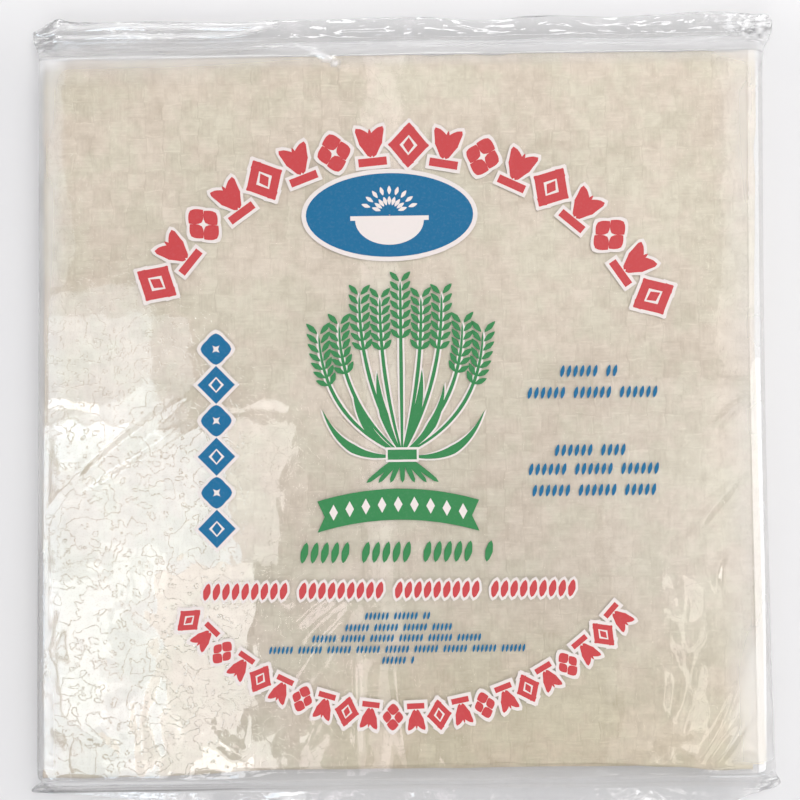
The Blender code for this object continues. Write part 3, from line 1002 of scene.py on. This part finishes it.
# soft panels that only the film mirrors: middle x, y, size x, y, turn in degrees, brightness, tone
panels = (
    (-0.325, -0.066, 0.219, 0.175, 0, 4.7, "cool"),
    (-0.180, -0.066, 0.070, 0.175, 0, 2.2, "plain"),
    (-0.367, -0.3015, 0.134, 0.296, 0, 4.7, "cool"),
    (-0.245, -0.2265, 0.110, 0.147, 0, 3.9, "plain"),
    (-0.2525, -0.375, 0.095, 0.150, 0, 3.9, "plain"),
    (-0.620, -0.215, 0.370, 0.470, 0, 5.0, "cool"),
    (-0.196, -0.378, 0.096, 0.078, 8, 3.2, "plain"),
    (-0.387, -0.243, 0.085, 0.166, 0, 1.6, "plain"),
    (-0.335, -0.148, 0.020, 0.051, 0, 1.2, "plain"),
    (-0.298, -0.148, 0.032, 0.051, 0, 1.2, "plain"),
    (-0.318, -0.317, 0.072, 0.056, 0, 1.2, "plain"),
    (-0.355, 0.020, 0.150, 0.050, 25, 1.6, "cool"),
    (-0.100, -0.195, 0.096, 0.014, 36, 2.4, "pink"),
    (-0.102, -0.249, 0.110, 0.020, 50, 2.4, "pink"),
    (-0.112, -0.344, 0.045, 0.024, 60, 2.4, "pink"),
    (-0.038, -0.314, 0.050, 0.122, 0, 1.5, "pink"),
    (-0.022, 0.030, 0.044, 0.840, 0, 1.1, "pink"),
    (-0.362, 0.085, 0.142, 0.165, 0, 1.7, "cool"),
    (-0.340, 0.082, 0.190, 0.118, 0, 1.4, "cool"),
    (-0.418, 0.315, 0.040, 0.280, 0, 1.1, "cool"),
    (-0.393, 0.040, 0.080, 0.011, 0, 4.5, "plain"),
    (-0.170, 0.036, 0.058, 0.011, 0, 3.0, "plain"),
    (0.325, -0.150, 0.210, 0.410, 0, 0.55, "plain"),
    (0.360, -0.155, 0.140, 0.400, 0, 0.45, "warm"),
    (0.382, -0.160, 0.050, 0.390, 0, 0.5, "warm"),
    (0.400, 0.258, 0.050, 0.390, 0, 1.1, "warm"),
    (0.408, -0.339, 0.070, 0.200, -22, 1.6, "warm"),
    (0.312, -0.250, 0.036, 0.170, 0, 1.5, "warm"),
    (0.050, 0.860, 1.100, 0.280, 0, 6.0, "plain"),
)
panelTones = {
    "plain": (1, 1, 1),
    "pink": (1.0, 0.90, 0.95),
    "cool": (0.78, 0.90, 1.0),
    "warm": (1.0, 0.97, 0.92),
}


def makeFloor():
    # pale matt floor = a slow cloud between two greys, with painted light making it brighter past the far
    # fin
    material, tree, shader = newMaterial("paleFloor")
    place = placeOf(tree)
    cloud = speckle(tree, place, 9, 2.0)
    tone = mixColour(tree, ramp(tree, cloud, 0.3, 0.7), studio["floorTone"], studio["cloudTone"])
    far = ramp(tree, axesOf(tree, place)[1], 110 * mm, 150 * mm, (1.0, studio["paintedFarLight"]))
    tone = tinted(tree, tone, far)
    feed(tree, shader.inputs["Base Color"], tone)
    feed(tree, shader.inputs["Roughness"], 0.6)
    feed(tree, shader.inputs["Specular IOR Level"], 0.0)
    mesh = bpy.data.meshes.new("floor")
    line = np.linspace(-1.5, 1.5, 9)
    x, y = np.meshgrid(line, line)
    points = np.stack([x, y, x * 0 - 0.3 * mm], -1).reshape(-1, 3)
    mesh.from_pydata(points.tolist(), [], gridFaces(9, 9).tolist())
    mesh.materials.append(material)
    floor = bpy.data.objects.new("floor", mesh)
    bpy.context.scene.collection.objects.link(floor)


def areaLight(name, place, aim, size, power, tone=(1, 1, 1)):
    light = bpy.data.lights.new(name, "AREA")
    light.shape = "RECTANGLE"
    light.size, light.size_y = size
    light.energy = power
    light.color = tone
    lamp = bpy.data.objects.new(name, light)
    lamp.location = place
    lamp.rotation_euler = (Vector(aim) - Vector(place)).to_track_quat("-Z", "Y").to_euler()
    lamp.visible_camera = False
    bpy.context.scene.collection.objects.link(lamp)
    return lamp


def lightStudio():
    world = bpy.data.worlds.new("studio")
    world.use_nodes = True
    background = world.node_tree.nodes["Background"]
    background.inputs["Color"].default_value = studio["worldTone"]
    background.inputs["Strength"].default_value = studio["worldStrength"]
    bpy.context.scene.world = world
    key = areaLight("keyLight", (0.22, 0.18, 0.92), (0, 0, 0), (0.7, 0.7), 5.5, (1.0, 0.985, 0.96))
    key.visible_glossy = False
    fill = areaLight("fillLight", (-0.10, -0.95, 0.95), (0, 0, 0), (1.2, 0.8), 4.0)
    fill.visible_glossy = False
    for name, y, width, power in (("sideNear", -0.20, 0.55, 7.6), ("sideFar", 0.32, 0.50, 4.0)):
        side = areaLight(name, (0.78, y, 0.55), (0, y, 0.05), (width, 1.0), power)
        side.visible_diffuse = False
    for i, (x, y, sizeX, sizeY, turn, brightness, tone) in enumerate(panels):
        power = brightness * math.pi * sizeX * sizeY
        height = studio["panelHeight"] - studio["panelStep"] * i
        panel = areaLight(f"panel{i}", (x, y, height), (x, y, 0), (sizeX, sizeY), power, panelTones[tone])
        panel.rotation_euler = (0, 0, math.radians(turn))
        panel.visible_diffuse = False


def placeCamera():
    camera = bpy.data.cameras.new("camera")
    camera.lens = studio["lens"]
    camera.sensor_width = 36
    camera.clip_start = 0.01
    holder = bpy.data.objects.new("camera", camera)
    holder.location = studio["cameraPlace"]
    holder.rotation_euler = [math.radians(a) for a in studio["cameraTurn"]]
    bpy.context.scene.collection.objects.link(holder)
    bpy.context.scene.camera = holder


# build

bpy.context.scene.view_settings.view_transform = "Standard"
paper = sheetMaterial()
makeTopSheet(paper)
makeLowerSheets(paper)
report("sheets")
wrap = makeFilm(filmMaterial())
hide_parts("film_pack")
report("film")
drawGarlands()
drawRows()
drawColumn()
drawBadge()
drawSheaf()
drawRibbon()
makePrint({colour: inkMaterial(colour) for colour in patches})
report("print")
makeFloor()
lightStudio()
placeCamera()
report("studio")
